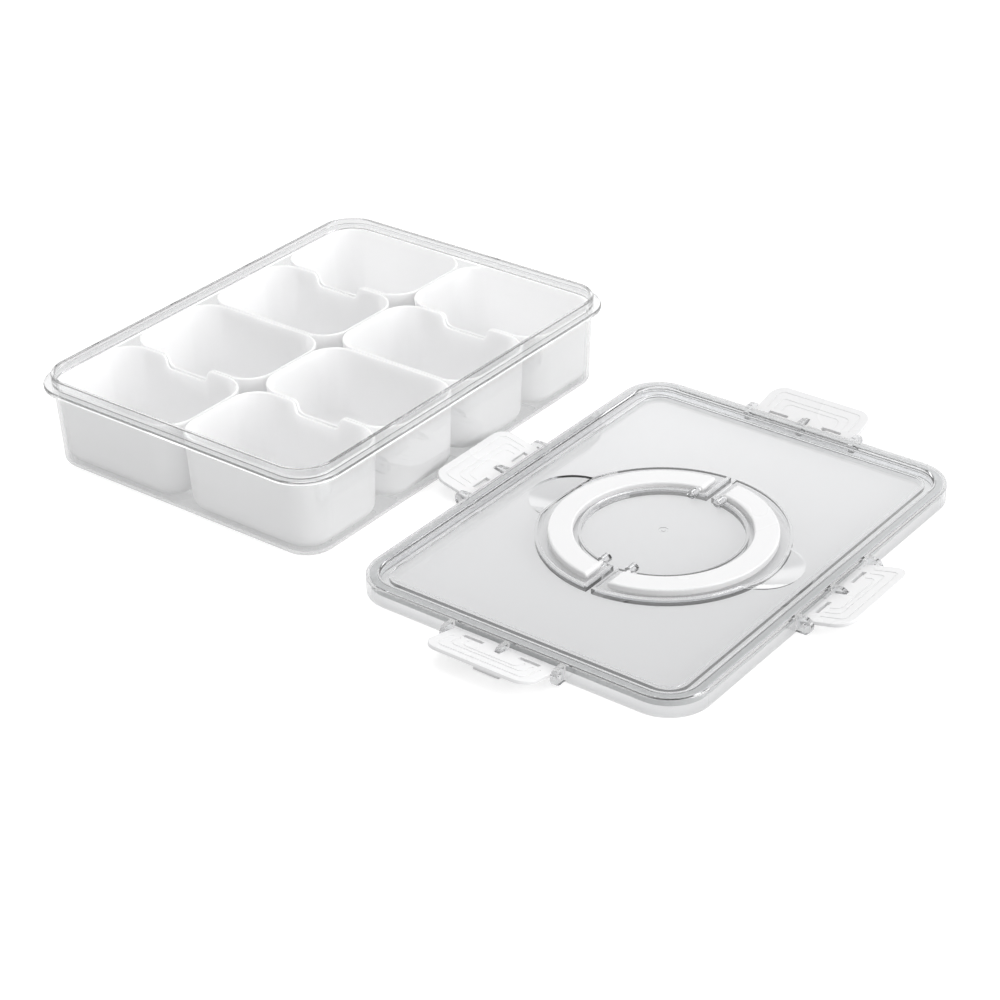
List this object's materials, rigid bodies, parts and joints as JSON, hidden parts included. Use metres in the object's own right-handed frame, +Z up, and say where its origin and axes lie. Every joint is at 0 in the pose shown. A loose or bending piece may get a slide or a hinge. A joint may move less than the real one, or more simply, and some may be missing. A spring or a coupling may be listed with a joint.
{
  "type": "divided snack box",
  "caption": "Clear rectangular snack box with loose white cups inside and a lift-off clear lid that has side latches and a folding split-ring handle.",
  "frame": {"origin": "middle of the outer box's flat underside, on the surface it stands on", "axes": "+Z up, X along the box's long side, the lid lies beside the box towards -Y"},
  "size_m": [0.3714, 0.5274, 0.0625],
  "materials": {
    "clear_plastic": "clear, polished, with moulded edges",
    "white_plastic": "white, fine satin",
    "silicone": "translucent, soft satin"
  },
  "bodies": {
    "outer_box": {"outer_box": "clear_plastic"},
    "cup_near_1": {"cup_near_1": "white_plastic"},
    "cup_near_2": {"cup_near_2": "white_plastic"},
    "cup_near_3": {"cup_near_3": "white_plastic"},
    "cup_near_4": {"cup_near_4": "white_plastic"},
    "cup_far_1": {"cup_far_1": "white_plastic"},
    "cup_far_2": {"cup_far_2": "white_plastic"},
    "cup_far_3": {"cup_far_3": "white_plastic"},
    "cup_far_4": {"cup_far_4": "white_plastic"},
    "lid": {"lid_cover": "clear_plastic", "lid_seal": "silicone"},
    "handle_left": {"handle_left": "white_plastic"},
    "handle_right": {"handle_right": "white_plastic"},
    "latch_back": {"latch_back": "white_plastic"},
    "latch_left": {"latch_left": "white_plastic"},
    "latch_front": {"latch_front": "white_plastic"},
    "latch_right": {"latch_right": "white_plastic"}
  },
  "joints": [
    {"name": "cup_near_1_lift", "type": "slide", "parent": "outer_box", "child": "cup_near_1", "axis": [0, 0, 1], "range_m": [0, 0.07]},
    {"name": "cup_near_2_lift", "type": "slide", "parent": "outer_box", "child": "cup_near_2", "axis": [0, 0, 1], "range_m": [0, 0.07]},
    {"name": "cup_near_3_lift", "type": "slide", "parent": "outer_box", "child": "cup_near_3", "axis": [0, 0, 1], "range_m": [0, 0.07]},
    {"name": "cup_near_4_lift", "type": "slide", "parent": "outer_box", "child": "cup_near_4", "axis": [0, 0, 1], "range_m": [0, 0.07]},
    {"name": "cup_far_1_lift", "type": "slide", "parent": "outer_box", "child": "cup_far_1", "axis": [0, 0, 1], "range_m": [0, 0.07]},
    {"name": "cup_far_2_lift", "type": "slide", "parent": "outer_box", "child": "cup_far_2", "axis": [0, 0, 1], "range_m": [0, 0.07]},
    {"name": "cup_far_3_lift", "type": "slide", "parent": "outer_box", "child": "cup_far_3", "axis": [0, 0, 1], "range_m": [0, 0.07]},
    {"name": "cup_far_4_lift", "type": "slide", "parent": "outer_box", "child": "cup_far_4", "axis": [0, 0, 1], "range_m": [0, 0.07]},
    {"name": "lid_lift", "type": "slide", "parent": "outer_box", "child": "lid", "axis": [0, -0.6, 0.8], "range_m": [0, 0.09]},
    {"name": "handle_left_turn", "type": "hinge", "parent": "lid", "child": "handle_left", "pos_m": [-0.0047, -0.2527, 0.0069], "axis": [1, 0, 0], "range_deg": [0, 95]},
    {"name": "handle_right_turn", "type": "hinge", "parent": "lid", "child": "handle_right", "pos_m": [-0.0047, -0.2719, 0.0069], "axis": [-1, 0, 0], "range_deg": [0, 95]},
    {"name": "latch_back_turn", "type": "hinge", "parent": "lid", "child": "latch_back", "pos_m": [0.1545, -0.2623, 0.0064], "axis": [0, 1, 0], "range_deg": [-66.5, 103.5]},
    {"name": "latch_front_turn", "type": "hinge", "parent": "lid", "child": "latch_front", "pos_m": [-0.1639, -0.2623, 0.0064], "axis": [0, -1, 0], "range_deg": [-66.5, 103.5]},
    {"name": "latch_left_turn", "type": "hinge", "parent": "lid", "child": "latch_left", "pos_m": [-0.0047, -0.1409, 0.0064], "axis": [-1, 0, 0], "range_deg": [-66.5, 103.5]},
    {"name": "latch_right_turn", "type": "hinge", "parent": "lid", "child": "latch_right", "pos_m": [-0.0047, -0.3837, 0.0064], "axis": [1, 0, 0], "range_deg": [-66.5, 103.5]}
  ]
}
